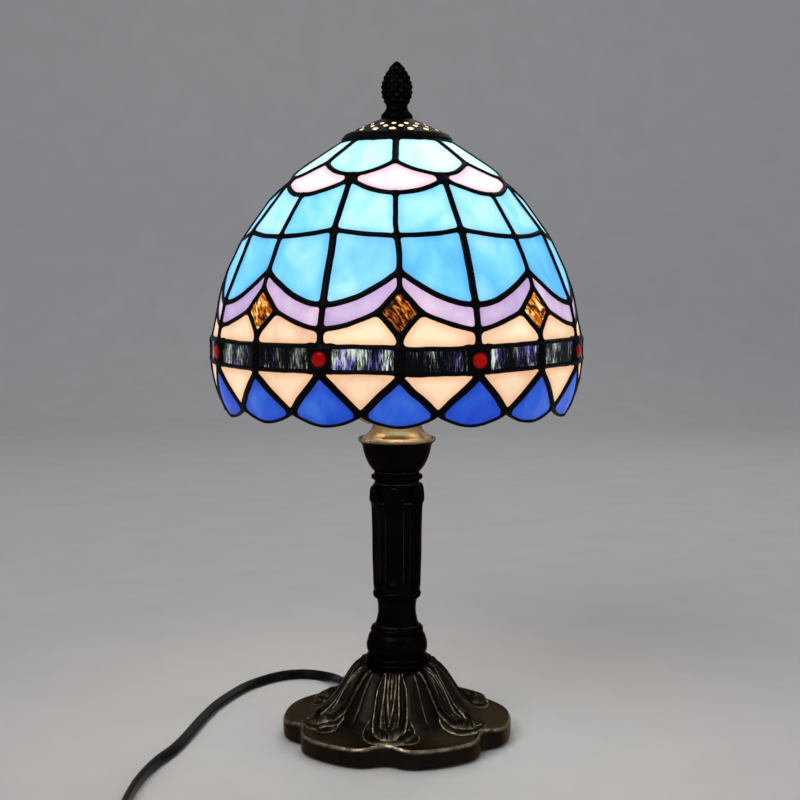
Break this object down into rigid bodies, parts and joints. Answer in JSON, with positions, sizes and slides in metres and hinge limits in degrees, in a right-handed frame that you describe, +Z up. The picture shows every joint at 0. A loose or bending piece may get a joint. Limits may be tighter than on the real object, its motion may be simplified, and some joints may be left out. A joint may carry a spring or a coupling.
{
  "type": "stained glass table lamp",
  "caption": "Leaded glass dome shade with a scalloped rim on a fluted bronze column with a lobed foot, a flat cord, an inline rocker switch and a two pin plug.",
  "frame": {"origin": "on the table, under the lamp's vertical axis, at the middle of the foot's underside", "axes": "+Z up along the column; -Y is the front, so +X is on the right of someone who looks at the front"},
  "size_m": [0.2375, 0.3682, 0.364],
  "materials": {
    "petal_glass": "milky pale aqua sheet glass, satin",
    "blush_glass": "milky pale pink sheet glass, satin",
    "sky_glass": "streaky sky blue sheet glass, satin",
    "lavender_glass": "streaky lavender and pink sheet glass, satin",
    "amber_glass": "amber rippled glass, gloss",
    "cream_glass": "cream to peach opal glass, satin",
    "streaky_glass": "dark blue, white and green streaky glass, gloss",
    "ruby_glass": "clear red cabochon glass, gloss",
    "cobalt_glass": "cobalt blue sheet glass, satin",
    "solder": "black patina on solder, satin",
    "bronze": "dark antique bronze with rubbed highlights, satin",
    "felt": "green felt",
    "steel": "zinc plated, satin",
    "brass": "satin brass",
    "ceramic": "unglazed holder ceramic",
    "black_plastic": "black, slight sheen",
    "bulb_glass": "frosted bulb glass"
  },
  "bodies": {
    "stand": {"felt_pad": "felt", "bottom_plate": "steel", "base_casting": "bronze", "pipe_washer": "steel", "pipe_nuts": "brass", "lamp_pipe": "steel", "stem_knop": "bronze", "column": "bronze", "column_collar": "bronze", "cup": "bronze", "cup_cover": "brass", "harp": "steel", "holder_cap": "brass", "holder_shell": "brass", "screw_shell": "brass", "holder_base": "ceramic", "centre_contact": "brass", "terminal_screws": "brass", "inner_wires": "black_plastic", "harp_stud": "brass", "stud_nut": "brass", "shade_saddle": "brass", "cord_gland": "black_plastic", "cord_run": "black_plastic", "cord_link": "black_plastic", "cord_coil": "black_plastic", "plug_body": "black_plastic", "plug_pins": "steel", "switch_lower": "black_plastic", "switch_upper": "black_plastic", "switch_screws": "steel"},
    "shade": {"petal_glass": "petal_glass", "blush_glass": "blush_glass", "upper_sky_glass": "sky_glass", "lower_sky_glass": "sky_glass", "lavender_glass": "lavender_glass", "amber_diamonds": "amber_glass", "cream_glass": "cream_glass", "belt_glass": "streaky_glass", "ruby_gems": "ruby_glass", "cream_triangles": "cream_glass", "cobalt_scallops": "cobalt_glass", "crown_ring": "solder", "arc_seams": "solder", "rib_seams": "solder", "diamond_frames": "solder", "belt_cames": "solder", "gem_bezels": "solder", "zigzag_seam": "solder", "scallop_edge": "solder", "vented_cap": "bronze"},
    "bulb_lift_piece": {"bulb_contact": "steel"},
    "bulb": {"bulb_cap": "steel", "bulb_insulator": "black_plastic", "bulb_glass": "bulb_glass", "bulb_mount": "bulb_glass", "filament": "steel"},
    "finial_lift_piece": {"finial_insert": "brass"},
    "finial": {"finial": "bronze"},
    "rocker": {"switch_rocker": "black_plastic"}
  },
  "joints": [
    {"name": "shade_turn", "type": "hinge", "parent": "stand", "child": "shade", "pos_m": [0, 0, 0.3322], "axis": [0, 0, 1], "continuous": true},
    {"name": "finial_lift", "type": "slide", "parent": "stand", "child": "finial_lift_piece", "axis": [0, 0, 1], "range_m": [0, 0.008]},
    {"name": "finial_turn", "type": "hinge", "parent": "finial_lift_piece", "child": "finial", "pos_m": [0, 0, 0.345], "axis": [0, 0, 1], "range_deg": [0, 2870]},
    {"name": "bulb_lift", "type": "slide", "parent": "stand", "child": "bulb_lift_piece", "axis": [0, 0, 1], "range_m": [0, 0.02]},
    {"name": "bulb_turn", "type": "hinge", "parent": "bulb_lift_piece", "child": "bulb", "pos_m": [0, 0, 0.21], "axis": [0, 0, 1], "range_deg": [0, 1980]},
    {"name": "rocker_press", "type": "hinge", "parent": "stand", "child": "rocker", "pos_m": [-0.124, -0.182, 0.013], "axis": [1, 0, 0], "range_deg": [-16, 0]}
  ],
  "couplings": [
    {"joint": "finial_lift", "follows": "finial_turn", "m_per_rad": 0.00015915},
    {"joint": "bulb_lift", "follows": "bulb_turn", "m_per_rad": 0.00057773}
  ]
}
